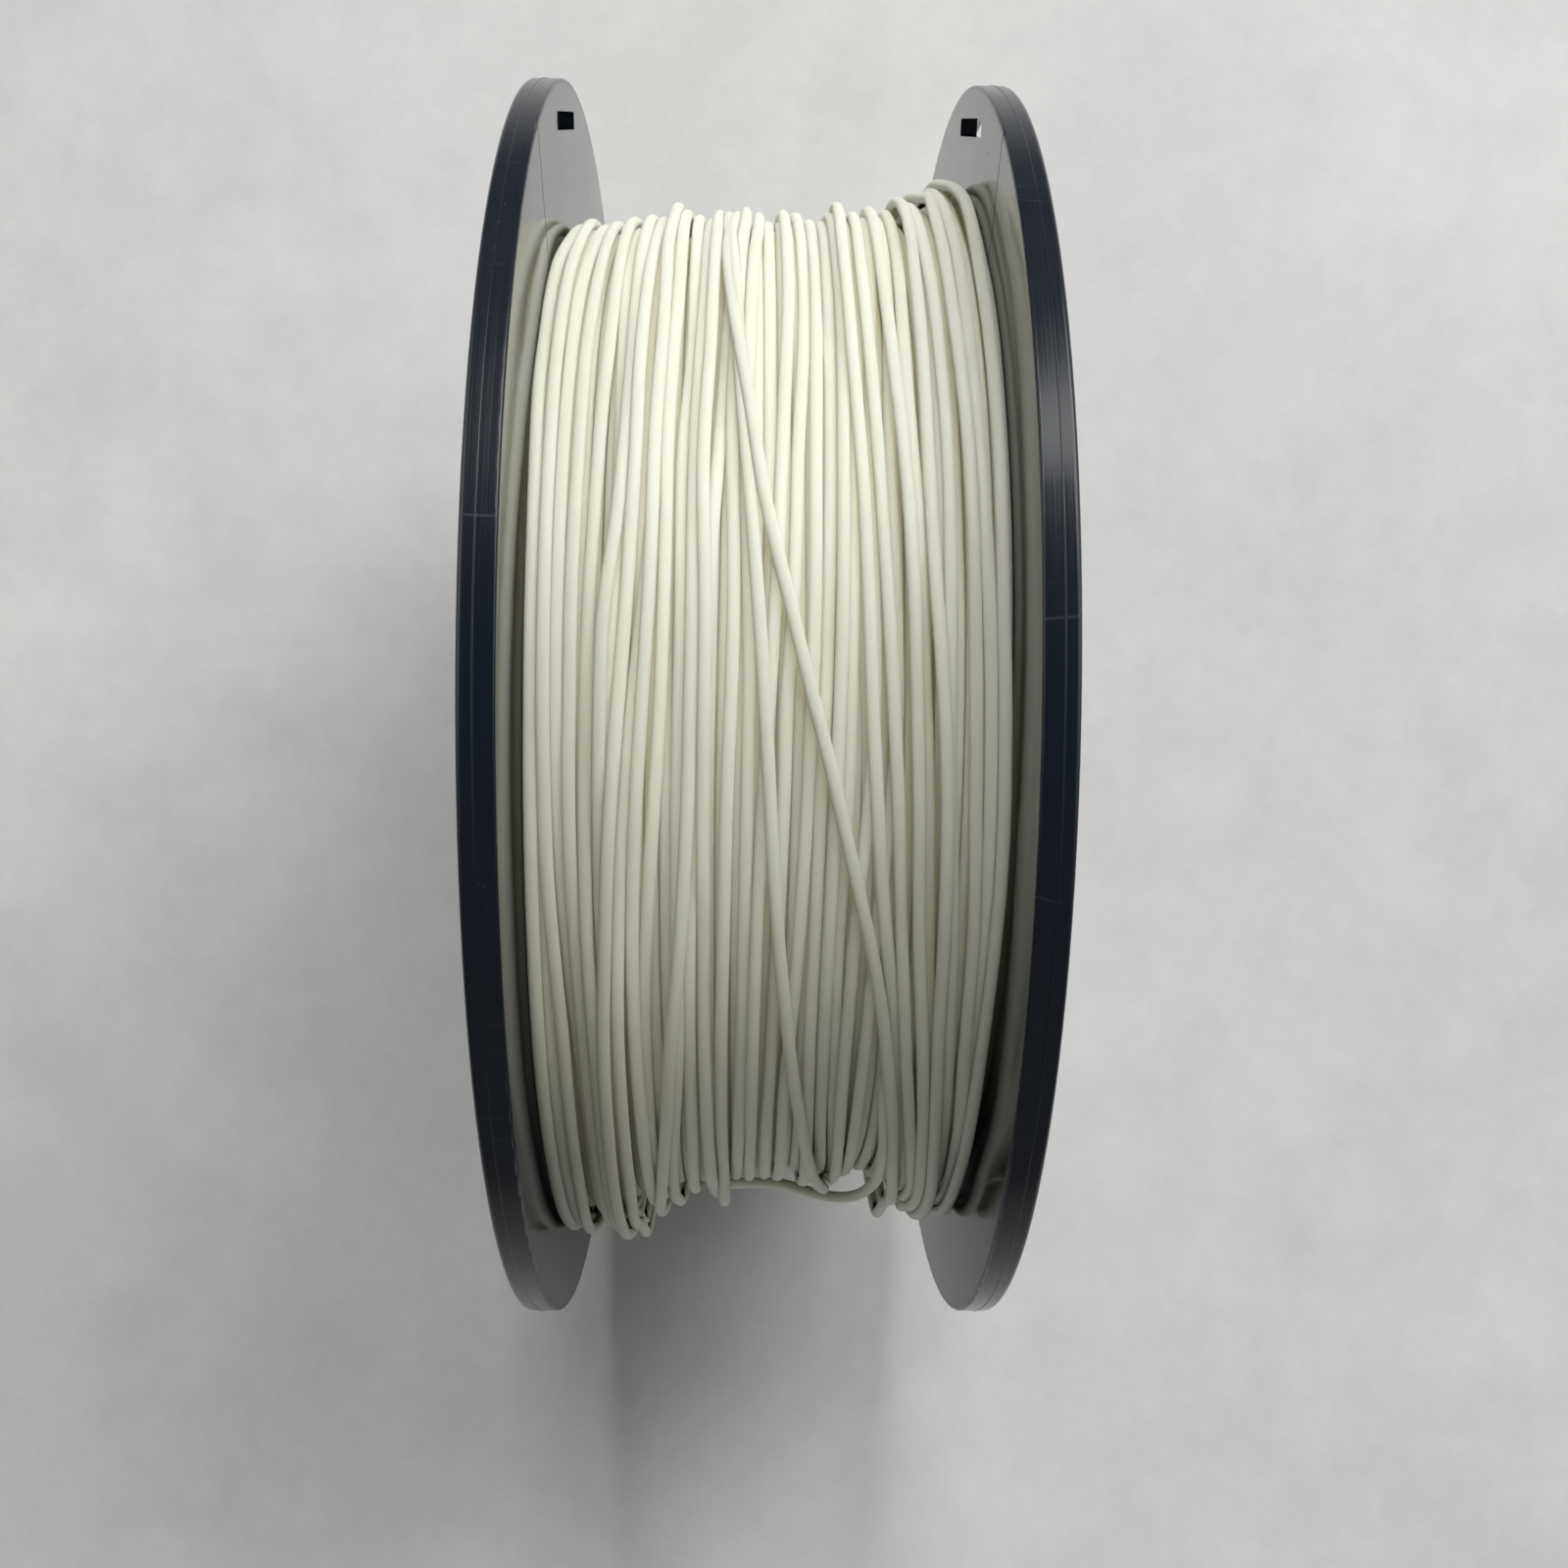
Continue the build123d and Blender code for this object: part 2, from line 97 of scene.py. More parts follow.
# The open turns on top, as they lie over the front: (label, rank, [(angle, place), ...]),
# in degrees and mm.  Rank 0 lies low between the others, 3 is the strand that crosses them
# all.  The order counts: it seeds the wander of each turn on the far side.
CROSSING = "crossing"
TURNS = [
    ("L1", 1, [
        (55.9, -29.2), (53.6, -29.7), (43.5, -29.9), (28, -29.9), (14, -29.4), (-1.4, -29.2),
        (-72.5, -29.3)]),
    ("L1b", 0, [
        (50.8, -27.1), (42.2, -27.4), (26.1, -28.6), (19.8, -28.8), (-20, -28.2),
        (-43.1, -27.6), (-72.6, -27.7)]),
    ("L2", 1, [
        (59.7, -27.4), (26.2, -27.9), (-1.3, -27.6), (-15.6, -27.4), (-33.1, -26.1),
        (-43.5, -26), (-57, -26), (-71, -26.6)]),
    ("L3", 0, [
        (61.5, -25.2), (33, -26.2), (-8, -26.2), (-15.6, -25.9), (-36.4, -24.4),
        (-49.5, -23.9), (-66.6, -24.2)]),
    ("L4", 1, [
        (60.7, -23.4), (41.6, -23.8), (33.1, -24.2), (21.3, -24.2), (6.2, -24.5),
        (-1.3, -24.4), (-8, -24.6), (-15.6, -24.5), (-33.2, -23.6), (-53.6, -23),
        (-69.7, -23.3)]),
    ("L5", 1, [
        (57.7, -20.8), (31.8, -21.2), (26.5, -21.6), (21.4, -21.6), (6.3, -22.3), (-8, -22.6),
        (-22, -22.6), (-40.3, -21.9), (-59, -21.8)]),
    ("L6", 0, [
        (61, -19.9), (53.1, -20.2), (41.8, -19.5), (21.6, -19), (14.5, -19), (3.7, -19.5),
        (-2.3, -20.2), (-13.2, -21.1), (-19.3, -21.4), (-27.9, -21.1), (-63.7, -20.9)]),
    ("L7", 0, [
        (61.3, -17.9), (51.8, -18.1), (31.9, -18), (23.5, -18.2), (13.5, -18.9), (6.3, -20.5),
        (-8.1, -20.8), (-23.1, -20.8), (-34.6, -20.2), (-48.9, -19.9), (-68.6, -19.9)]),
    ("L8", 2, [
        (62.9, -16.1), (26.7, -16.9), (21.6, -16.7), (6.4, -17.6), (-15.8, -19.8),
        (-33.5, -20.9), (-71.9, -20.9)]),
    ("L8b", 0, [
        (60, -13.7), (42.4, -13.5), (23.6, -13.9), (13.6, -14.7), (4.6, -15.7), (-2.3, -16.8),
        (-15.8, -18.5), (-33.9, -19.1), (-57.4, -19), (-74.8, -19.6)]),
    ("L9", 1, [
        (63.1, -13.9), (52.1, -14.4), (41.6, -14), (33.4, -14), (21.6, -14.6), (14.6, -14.5),
        (6.5, -14.8), (-15.9, -16.7), (-24, -17), (-34.3, -17), (-45.7, -16.7),
        (-74.7, -16.4)]),
    ("L10", 0, [
        (66.1, -12.5), (40.8, -12.2), (21.7, -13), (14.7, -12.9), (-1.2, -13.3),
        (-30.8, -15.8), (-53, -15.8), (-75.1, -14.9)]),
    ("L11", 1, [
        (71.2, -10.7), (33.5, -10.1), (21.8, -11.3), (6.6, -10.8), (-8.2, -11.2),
        (-35.7, -11.4), (-61, -13.3)]),
    ("L11a", 1, [
        (71.2, -8.6), (40.7, -8.8), (20.6, -9.6), (3.9, -9.5), (-11.8, -9.9), (-20.2, -10.5),
        (-26.7, -11.2), (-35.4, -12.6), (-43.8, -13.1), (-70.5, -15.6)]),
    ("L12", 1, [
        (71.2, -7.4), (33.5, -7.7), (20.6, -8.5), (6.6, -7.8), (-16.3, -8), (-35.8, -8),
        (-48.6, -7.8), (-68.2, -7.2), (-75.1, -6.5)]),
    ("L12b", 0, [
        (65.7, -4.7), (40.6, -5.4), (26.9, -6), (11.9, -7.3), (4.8, -7.4), (-3.1, -8.2),
        (-9.2, -9.1), (-16.4, -9.6), (-35.5, -10), (-49.6, -9.9), (-75.6, -10.3)]),
    ("L13", 1, [
        (62.3, -3.2), (50.2, -4), (40.7, -4.2), (26.9, -4.8), (21.9, -4.8), (14.9, -4.4),
        (6.7, -4.3), (-1.1, -4.5), (-8.2, -5), (-36, -5.7), (-48.8, -5.8), (-65.9, -5.5)]),
    ("L14", 0, [
        (60.6, -1.3), (50.3, -2), (23.9, -3), (17.7, -2.9), (4.8, -2.3), (-1.1, -2.3),
        (-74.9, -3.8)]),
    ("R1", 1, [
        (66.6, 2.5), (41.3, 2.7), (8.5, 1), (-8.2, -0.3), (-25.1, -1.2), (-36.6, -1.5),
        (-71.4, -1.7)]),
    ("R2", 1, [
        (65.8, 4.8), (41.5, 4.9), (34.2, 4.6), (22.3, 3.7), (8.5, 3.3), (-2.1, 2.3),
        (-8.3, 2.3), (-25.3, 1.5), (-50, 0.7), (-69.9, 0.7)]),
    ("R3", 1, [
        (62.7, 6.6), (41.5, 6.5), (22.4, 6), (6.9, 5.9), (-16.5, 4.9), (-44.4, 3),
        (-66.3, 3)]),
    ("R4", 1, [
        (71.1, 8.5), (51.1, 8.1), (27.4, 8.1), (-1, 7.4), (-8.2, 6.9), (-37, 6.2),
        (-69.3, 7)]),
    ("S1", 0, [
        (70.9, 11.9), (-9.2, 10.4), (-25.3, 9.5), (-37, 9.6), (-51, 10.3), (-76.2, 12)]),
    ("R5", 1, [
        (70.9, 9.7), (50.9, 9.4), (34, 9.8), (22.3, 9.5), (6.9, 9.4), (-25.2, 8.2),
        (-37, 8.1), (-50.9, 8.4), (-70.3, 9.6)]),
    ("R6b", 0, [
        (70.7, 15.2), (49.9, 14.4), (28.6, 13.2), (-3.8, 13.6), (-11, 13.1), (-16.6, 12.3),
        (-22.6, 11.7), (-37.1, 11.2), (-46.4, 11.1), (-68, 11.7)]),
    ("R7b", 0, [
        (70.6, 16.9), (37.4, 16.2), (28.4, 15.7), (20.8, 15.6), (-2, 16.5), (-9.1, 16.1),
        (-21.6, 14.7), (-28.1, 14.2), (-44.8, 13.6), (-55.8, 13.5), (-67.5, 13.7)]),
    ("R8b", 0, [
        (70.5, 18.4), (56.2, 18.3), (34.4, 17.8), (26.8, 18), (-29.1, 21.6), (-40.4, 22.6),
        (-61.5, 25.1)]),
    ("R10", 0, [
        (70.2, 21.7), (51.9, 21.7), (21.1, 22.7), (-5.4, 22.5), (-11.4, 22.9), (-23.4, 24.1),
        (-32.2, 24.5), (-50.7, 25.9), (-62.7, 27.3), (-75.3, 28.4)]),
    ("R11b", 0, [
        (70, 25.4), (57.6, 25.9), (32.2, 26), (-1, 27.6), (-15.4, 27.9), (-32.8, 27.9),
        (-58.5, 29.3)]),
    ("R6", 1, [
        (71, 10.7), (49, 10.2), (33.9, 10.8), (22.2, 11.7), (6.9, 12.7), (-1, 13),
        (-8.2, 13.6), (-16.5, 14.5), (-25.2, 15.8), (-30.3, 16.9), (-66.2, 22.6)]),
    ("R7", 1, [
        (65.9, 13.3), (50.2, 12.9), (40.8, 13), (27.2, 13.6), (-1, 15.7), (-25, 17.8),
        (-39, 19.4), (-65.4, 23.4)]),
    ("R8", 1, [
        (70.7, 15.7), (48.1, 15.6), (40.5, 15.8), (27, 16.5), (22, 17.1), (6.8, 18.2),
        (-24.6, 19.9), (-47.7, 22.7), (-64.6, 24.2)]),
    ("R9", 1, [
        (70.4, 20.1), (21.5, 20.1), (6.7, 20.8), (-7.9, 22.2), (-35, 23.2), (-61.2, 25.5)]),
    ("R11", 1, [
        (70, 22.5), (66.3, 24.1), (32.6, 24.3), (22.3, 24.9), (6.4, 25.5), (-7.8, 25.8),
        (-23.4, 26.6), (-34.4, 26.7), (-46.5, 27.7), (-66, 28.8)]),
    ("R12", 1, [
        (69.7, 26.6), (57.4, 28.5), (40.1, 28.5), (21.4, 28.9), (6.4, 29), (-15.4, 29.6),
        (-36.8, 29), (-46.3, 28.9), (-55.3, 29.2), (-63.2, 28.9)]),
    ("A2", 2, [
        (65.1, -6.4), (50.2, -5.1), (28.3, -3.7), (-0.8, -0.4), (-16.5, 0.9), (-24.9, 1.8),
        (-39.9, 3.9), (-63.3, 7.9), (-75.3, 10.9)]),
    (CROSSING, 3, [
        (50.2, -6), (40.6, -5.2), (33.6, -4.2), (25, -2.3), (18.4, -1.2), (12.2, 0.6),
        (6.9, 2.8), (2.9, 3.9), (-0.7, 5.4), (-4.3, 6.6), (-8.2, 8.3), (-12.3, 9.5),
        (-20.9, 12.5), (-28.1, 14.7), (-31.7, 15.6), (-39.9, 17.2), (-46.3, 18.2),
        (-75.4, 21.3)]),
]
# where a turn stands proud of the winding at the bottom: label: (angle, mm, width in degrees)
PROUD = {"L12": (-81, 1.5, 16), CROSSING: (-79, 2.0, 16), "R10": (-79, 0.8, 18),
         "A2": (-77, 1.5, 9), "S1": (-78, 1.2, 10)}

# the slack strand, bowed out at the bottom: (angle, place, radius)
SLACK_BOW = [(-45, 17.0, 81.0), (-51, 17.55, 81.9), (-59, 18.12, 80.6), (-66, 17.95, 80.7),
             (-71, 16.55, 81.6), (-74.5, 14.65, 82.4), (-76.5, 12.85, 82.75),
             (-78.5, 11.0, 82.4), (-80.5, 8.87, 81.7), (-82.5, 6.3, 81.1),
             (-84.5, 2.96, 80.6), (-86.5, 0.7, 80.2)]
# its way under the turns over the front, and round the far side: (angle, place)
SLACK_FRONT = [(73, 12.4), (53, 12.0), (29, 12.2), (14, 12.0), (0, 12.3), (-15, 13.3),
               (-30, 15.4)]
SLACK_BEHIND = [(-93, -5.0), (-105, -11.5), (-123, -14.5), (-165, -13.0), (-200, -4.0),
                (-240, 7.0)]


# ---------------------------------------------------------------- curve helpers
def unit(values):
    return np.clip(values, 0, 1)


def smoothstep(t):
    return t * t * (3 - 2 * t)


def smooth(values, deg):
    """Gaussian smoothing round the circle (axis 0); deg is the width in degrees."""
    spectrum = np.fft.rfft(values, axis=0)
    gain = np.exp(-0.5 * (np.arange(spectrum.shape[0]) * math.radians(deg)) ** 2)
    return np.fft.irfft((spectrum.T * gain).T, len(values), axis=0)


def blur(values, offsets):
    """Gaussian smoothing of an open row; offsets are the samples in widths."""
    kernel = np.exp(-0.5 * offsets ** 2)
    kernel /= kernel.sum()
    return np.convolve(np.pad(values, len(kernel) // 2, mode="edge"), kernel, "valid")


def soften(field, mm, deg):
    """Smooth a field by mm along the axis and by deg around it."""
    reach = int(3 * mm / DY)
    offsets = np.arange(-reach, reach + 1) * DY / mm
    return smooth(np.apply_along_axis(blur, 1, field, offsets), deg)


def widest(radii, reach):
    return np.maximum.reduce([np.roll(radii, s) for s in range(-reach, reach + 1)])


def outer_r(y, phi):
    """Wanted radius of the outer strands' centres."""
    top = (1 + np.sin(phi)) / 2
    return top * np.interp(y, *TOP) + (1 - top) * np.interp(y, *BOTTOM)


def half_hull(points):
    hull = []
    for p in points:
        while len(hull) > 1:
            a, b = hull[-2], hull[-1]
            if (b[0] - a[0]) * (p[1] - a[1]) - (b[1] - a[1]) * (p[0] - a[0]) > 0:
                break
            hull.pop()
        hull.append(p)
    return hull[:-1]


def taut(full):
    """Radius of a string pulled tight round the closed curve: its hull, every second degree."""
    step = 4
    radii = widest(full, 2)[::step]
    angles = PH[::step]
    count = len(radii)
    x, y = radii * np.cos(angles), radii * np.sin(angles)
    points = [(float(x[i]), float(y[i]), int(i)) for i in np.lexsort((y, x))]
    corners = sorted(p[2] for p in half_hull(points) + half_hull(points[::-1]))
    out = np.empty(count)
    for a, b in zip(corners, corners[1:] + [corners[0] + count]):
        span = np.arange(a, b + 1)
        along = (span - a) * 2 * np.pi / count
        whole = (b - a) * 2 * np.pi / count
        r_a, r_b = radii[a], radii[b % count]
        chord = r_a * np.sin(along) + r_b * np.sin(whole - along)
        out[span % count] = r_a * r_b * np.sin(whole) / np.where(chord == 0, 1, chord)
    return np.interp(PH, np.append(angles, 2 * np.pi), np.append(out, out[0]))


def angle_from(centre):
    return (PHD - centre + 180) % 360 - 180


FRONT_DEG = 80                          # the open turns are laid one by one up to here
AT_TOP = FRONT_DEG * PER_DEG
AT_BOTTOM = NPHI - AT_TOP
U = angle_from(0)                       # -180 .. 180, the front is the middle
FRONT = np.abs(U) <= FRONT_DEG
OFFSETS = np.arange(-8, 9)              # field columns under one strand
CAPS = np.sqrt(RHO ** 2 - (OFFSETS * DY) ** 2)
ROWS = np.arange(NPHI)
WANTED = np.array([outer_r(YG, phi) for phi in PH])
# the strands laid last may rise this far, and sink in among the others towards the top
SINK = 3.0 - 2.6 * unit((U - 34) / 28) * (np.abs(U) < 170)


def lay(field, y, tight, lift=0.0, floor_r=0.0, live=True, cap=None):
    """Lay one closed turn along y(angle); returns its place and radius, raises the field.

    tight: share of the pulled-tight radius; lift, floor_r: added and least radius;
    live: where the field is raised; cap: greatest height over the wanted radius.
    """
    y = np.clip(y, -EDGE, EDGE)
    nearest = np.rint((y + WALL) / DY).astype(int)
    columns = np.clip(nearest[:, None] + OFFSETS[None, :], 0, NY - 1)
    need = (field[ROWS[:, None], columns] + CAPS[None, :]).max(1)
    need = np.maximum(need + lift, floor_r)
    wide = widest(need, 3)
    r = np.maximum(smooth(wide, deg=2.2), tight * taut(wide) + (1 - tight) * wide)
    r = smooth(r, deg=2.0)
    r = np.maximum(r, need - 0.10)      # may press 0.1 mm into what is below
    if cap is not None:
        r = np.minimum(r, WANTED[ROWS, columns[:, len(OFFSETS) // 2]] + cap)
        r = smooth(r, deg=1.2)
    r = smooth(r, deg=0.9)
    for j in range(len(OFFSETS)):
        cell = field[ROWS, columns[:, j]]
        field[ROWS, columns[:, j]] = np.where(live, np.maximum(cell, r + CAPS[j]), cell)
    return y, r


def drift(y, amp, seed):
    """Slow wander shared by neighbouring turns."""
    draws = np.random.default_rng(seed)
    out = 0
    for waves, shift in ((1, 0.05), (2, 0.09), (3, 0.16), (5, 0.24), (8, 0.4)):
        phase = draws.uniform(0, 6.28)
        out = out + amp / (waves ** 0.6) * np.sin(waves * PH + phase + shift * y)
    return out


def path_from(points, seed, wander=0.8):
    """Closed path through (angle, place) points given over the front; the far
    side joins its ends smoothly with a little wander."""
    points = sorted(points)
    first, last = points[0], points[-1]
    draws = np.random.default_rng(seed)
    gap = 360 - (last[0] - first[0])
    far = [(last[0] + gap * f,
            last[1] + (first[1] - last[1]) * smoothstep(f) + draws.uniform(-wander, wander))
           for f in (0.28, 0.5, 0.72)]
    whole = [(last[0] - 360, last[1])] + points + far + [(first[0] + 360, first[1])]
    angles, places = zip(*whole)
    return smooth(np.interp((PHD - first[0]) % 360 + first[0], angles, places), deg=3.2)


def proud(label):
    if label not in PROUD:
        return 0.0
    angle, mm, width = PROUD[label]
    return mm * np.exp(-(angle_from(angle) / width) ** 2)


# ------------------------------------------------------------- the slack strand
def slack_path():
    """Place of the slack strand, and the least radius that bows it out at the bottom."""
    angles, places, radii = zip(*SLACK_BOW[::-1])
    path = path_from(SLACK_FRONT + [p[:2] for p in SLACK_BOW] + SLACK_BEHIND, seed=77)
    bowed = unit(np.minimum((U - angles[0] - 2) / 5, (angles[-1] - U - 2) / 5))
    path = smooth(path * (1 - bowed) + np.interp(U, angles, places) * bowed, deg=1.2)
    near_bow = (U > angles[0] - 6) & (U < angles[-1] + 6)
    return path, np.where(near_bow, np.interp(U, angles, radii), 0)


SLACK_Y, SLACK_FLOOR = slack_path()


def slack_radius(front_r, behind_r):
    """Radius of the slack strand: hidden over the front, on the surface elsewhere."""
    behind = unit((-84 - U) / 10) + (U > 100)
    surface_r = behind_r * behind + front_r * (1 - behind)
    shown = smoothstep(np.maximum(unit((-40 - U) / 7), unit((U - 118) / 30)))
    hidden_r = outer_r(SLACK_Y, PH) - 1.9
    return smooth(surface_r * shown + hidden_r * (1 - shown), deg=1.0)


# ------------------------------------------------------------- laying all turns
LABELS = [t[0] for t in TURNS]
RANKS = {t[0]: t[1] for t in TURNS}


def lay_closed_layers(field):
    """Two closed layers under the open turns."""
    layers = []
    for layer, count in ((0, 34), (1, 33)):
        side = EDGE - 0.9 * layer
        turns = []
        for k in range(count):
            y0 = -side + k * 2 * side / (count - 1)
            calm = 1 - abs(y0 / EDGE) ** 6          # no wander beside the flanges
            y = y0 + calm * (drift(y0, amp=0.16, seed=11 + layer)
                             + drift(y0 * 3, amp=0.06, seed=100 + layer * 50 + k))
            turns.append(lay(field, y, tight=0.75))
        layers.append(turns)
    return layers


def lay_rank(field, fronts, rank, seed, tight, cap=None):
    """Lay the open turns of one rank over the front."""
    for n, (label, own_rank, points) in enumerate(TURNS):
        if own_rank == rank:
            fronts[label] = lay(field, path_from(points, seed + n), tight=tight,
                                lift=proud(label), live=FRONT, cap=cap)


def lay_behind(field, fronts, by_top, by_bottom):
    """Behind, the turns run side by side: the n-th turn from the left at the bottom is the
    n-th from the left at the top of another turn, as in one continuous strand."""
    count = len(LABELS)
    draws = np.random.default_rng(5)
    behind = [None] * count
    order = sorted(range(count), key=lambda k: (RANKS[by_top[k]] + RANKS[by_bottom[k]]) / 2
                   + draws.uniform(-0.9, 0.9))
    turned = PHD % 360
    keys = [FRONT_DEG, 95, 135, 180, 225, 265, 360 - FRONT_DEG]
    for k in order:
        top_path, bottom_path = fronts[by_top[k]][0], fronts[by_bottom[k]][0]
        top_y, bottom_y = top_path[AT_TOP], bottom_path[AT_BOTTOM]
        far_y = -EDGE + k * 2 * EDGE / (count - 1) + draws.uniform(-0.4, 0.4)
        places = [top_y, top_y * 0.93 + far_y * 0.07,
                  top_y * 0.5 + far_y * 0.5 + draws.uniform(-0.35, 0.35), far_y,
                  bottom_y * 0.5 + far_y * 0.5 + draws.uniform(-0.35, 0.35),
                  bottom_y * 0.93 + far_y * 0.07, bottom_y]
        y = np.interp(turned, keys, places)
        y = np.where(turned < keys[0], top_path, np.where(turned > keys[-1], bottom_path, y))
        y = np.where((turned > 40) & (turned < 320), smooth(y, deg=3.0), y)
        behind[k] = lay(field, y, tight=0.7, live=~FRONT)
    return behind


def wind(field):
    """Lay every turn on the field, from the inside out."""
    fronts = {}
    layers = lay_closed_layers(field)
    lay_rank(field, fronts, rank=0, seed=500, tight=0.7)
    lay_rank(field, fronts, rank=1, seed=500, tight=0.55)
    before_slack = field.copy()
    slack_front = lay(field, SLACK_Y, tight=0.35, floor_r=SLACK_FLOOR,
                      live=(U > -100) & (U < -46))[1]
    for rank in (2, 3):
        lay_rank(field, fronts, rank=rank, seed=900, tight=0.75, cap=SINK)
    by_top = sorted(LABELS, key=lambda q: fronts[q][0][AT_TOP])
    by_bottom = sorted(LABELS, key=lambda q: fronts[q][0][AT_BOTTOM])
    behind = lay_behind(field, fronts, by_top, by_bottom)
    slack_behind = lay(field, SLACK_Y, tight=0.7, live=U <= -84)[1]
    return SimpleNamespace(
        field=field, layers=layers, fronts=fronts, behind=behind, by_top=by_top,
        by_bottom=by_bottom, before_slack=before_slack,
        slack_r=slack_radius(slack_front, slack_behind))


def wind_to_size():
    """Wind four times; the start radius is corrected each time until the outside fits."""
    start = WANTED - RHO - 2.30 * LEVEL
    lowest = WANTED - RHO - 4.2 * LEVEL
    inset = 0.5                         # strips narrower than this follow their neighbours
    for _ in range(4):
        wound = wind(start.copy())
        surface = np.where(FRONT[:, None], wound.before_slack, wound.field)
        left = np.searchsorted(YG, -EDGE + inset)
        right = np.searchsorted(YG, EDGE - inset) - 1
        for strip, source in ((YG < -EDGE + inset, left), (YG > EDGE - inset, right)):
            surface[:, strip] = surface[:, source:source + 1]
        start = np.maximum(start - soften(surface - (WANTED + 0.35), mm=1.2, deg=4.0), lowest)
    return wound, start


wound, start_r = wind_to_size()
drum_r = soften(start_r, mm=0.9, deg=2.0)
# soft envelope of the finished winding, to know how deep each place lies
envelope = soften(wound.field, mm=0.95, deg=2.0)

# ------------------------- each turn from the far side over the front to the far side
SPAN = np.arange(-NPHI // 2, NPHI // 2 + 1)
SPAN_DEG = SPAN / PER_DEG


def join_turns():
    """Blend each front turn into the turns behind that go on from its two ends."""
    away = np.abs(SPAN_DEG)
    in_front = smoothstep(unit((93 - away) / 15))
    seam = unit((away - 70) / 4) * unit((110 - away) / 8)
    joined = {}
    for label in LABELS:
        past_top = wound.behind[wound.by_top.index(label)]
        past_bottom = wound.behind[wound.by_bottom.index(label)]
        parts = []
        for c in (0, 1):                # place, then radius
            front = wound.fronts[label][c][SPAN % NPHI]
            back = np.where(SPAN > 0, past_top[c][SPAN % NPHI], past_bottom[c][SPAN % NPHI])
            curve = front * in_front + back * (1 - in_front)
            parts.append(curve * (1 - seam) + blur(curve, np.arange(-12, 13) / 4) * seam)
        joined[label] = tuple(parts)
    return joined


# ================================================================ mesh helpers
def new_object(name, verts, faces, attributes=None, smooth_shade=True):
    mesh = bpy.data.meshes.new(name)
    verts = np.asarray(verts, dtype=np.float32)
    faces = np.asarray(faces, dtype=np.int32)
    count, corners = faces.shape
    mesh.vertices.add(len(verts))
    mesh.vertices.foreach_set("co", verts.ravel())
    mesh.loops.add(count * corners)
    mesh.loops.foreach_set("vertex_index", faces.ravel())
    mesh.polygons.add(count)
    mesh.polygons.foreach_set("loop_start", np.arange(count, dtype=np.int32) * corners)
    mesh.update(calc_edges=True)
    mesh.validate()
    if smooth_shade:
        mesh.polygons.foreach_set("use_smooth", np.ones(len(mesh.polygons), dtype=bool))
    for key, values in (attributes or {}).items():
        attribute = mesh.attributes.new(key, "FLOAT", "POINT")
        attribute.data.foreach_set("value", np.asarray(values, dtype=np.float32))
    mesh.update()
    return add_to_scene(name, mesh)


def add_to_scene(name, data):
    ob = bpy.data.objects.new(name, data)
    bpy.context.scene.collection.objects.link(ob)
    return ob


def around(phi, y, r):
    return np.stack([-r * np.sin(phi), y, r * np.cos(phi)], 1)


def grid_faces(rings, sides, closed=True):
    """Quads between successive rings of vertices."""
    i = np.arange(rings if closed else rings - 1)[:, None]
    j = np.arange(sides)[None, :]
    here, after = i * sides, (i + 1) % rings * sides
    beside = (j + 1) % sides
    return np.stack([here + j, here + beside, after + beside, after + j], -1).reshape(-1, 4)


def ripples(phi, draws):
    """Two small waves in a strand's thickness."""
    return (0.012 * np.sin(3 * phi + draws.uniform(0, 6.28)),
            0.008 * np.sin(11 * phi + draws.uniform(0, 6.28)))


def tube(phi, centres, tangents, radius, section):
    """Rings of vertices round the centres; section holds the angles round the strand."""
    tangents = tangents / np.linalg.norm(tangents, axis=1)[:, None]
    outward = around(phi, 0 * phi, 1)
    normal = outward - (outward * tangents).sum(1)[:, None] * tangents
    normal /= np.linalg.norm(normal, axis=1)[:, None]
    side = np.cross(tangents, normal)
    rings = centres[:, None, :] + radius[:, None, None] * (
        np.cos(section)[None, :, None] * normal[:, None, :]
        + np.sin(section)[None, :, None] * side[:, None, :])
    return rings.reshape(-1, 3)


def closed_turn(y, r, seed, segments, sides):
    """Closed round strand: vertices in mm, and faces."""
    phi = np.arange(segments) * 2 * np.pi / segments
    circle = np.append(PH, 2 * np.pi)
    y, r = (np.interp(phi, circle, np.append(a, a[0])) for a in (y, r))
    centres = around(phi, y, r)
    tangents = np.roll(centres, -1, 0) - np.roll(centres, 1, 0)
    draws = np.random.default_rng(seed)
    slow, quick = ripples(phi, draws)
    section = np.arange(sides) * 2 * np.pi / sides + draws.uniform(0, 6.28) / sides
    verts = tube(phi, centres, tangents, RHO * (1 + slow + quick), section)
    return verts, grid_faces(segments, sides)


